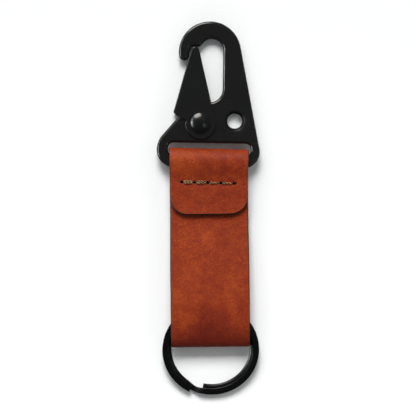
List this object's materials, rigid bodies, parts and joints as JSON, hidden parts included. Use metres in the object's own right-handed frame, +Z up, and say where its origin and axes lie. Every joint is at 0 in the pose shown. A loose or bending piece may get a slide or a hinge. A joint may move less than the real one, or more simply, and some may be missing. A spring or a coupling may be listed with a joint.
{
  "type": "leather key strap",
  "caption": "Sewn leather key strap with a flat snap hook that swings at one end and a split ring for keys that turns in the folded leather at the other.",
  "frame": {"origin": "middle of the object's bounding box, on the level surface that it lies on", "axes": "+Y along the strap from the split ring to the hook, +Z up, away from the surface, +X across the strap"},
  "size_m": [0.033, 0.1197, 0.0085],
  "materials": {
    "leather": "reddish-brown waxed leather, softly mottled",
    "thread": "twisted tan thread",
    "hook_paint": "smooth black paint, half gloss",
    "gate_paint": "smooth black paint, half gloss",
    "rivet_paint": "black paint, rubbed bright on the dome",
    "spring_steel": "bare spring wire",
    "ring_paint": "black plated flat wire, half gloss"
  },
  "bodies": {
    "strap": {"leather_strap": "leather", "stitch_thread": "thread"},
    "hook": {"hook_plate": "hook_paint", "gate_rivet": "rivet_paint", "gate_spring": "spring_steel"},
    "gate": {"gate": "gate_paint"},
    "ring": {"split_ring": "ring_paint"}
  },
  "joints": [
    {"name": "hook_swing", "type": "hinge", "parent": "strap", "child": "hook", "pos_m": [0.00018, 0.01484, 0.0041], "axis": [0.9998, -0.0174, 0], "range_deg": [-120, 130]},
    {"name": "gate_pivot", "type": "hinge", "parent": "hook", "child": "gate", "pos_m": [-0.00248, 0.02723, 0.00348], "axis": [-0.0009, -0.0498, -0.9988], "range_deg": [0, 18], "stiffness_Nm_per_rad": 0.02, "springref_deg": -28.65, "deforming": ["gate_spring"]},
    {"name": "ring_spin", "type": "hinge", "parent": "strap", "child": "ring", "pos_m": [0.00107, -0.0453, 0.00306], "axis": [0.0016, -0.1392, 0.9903], "continuous": true}
  ]
}
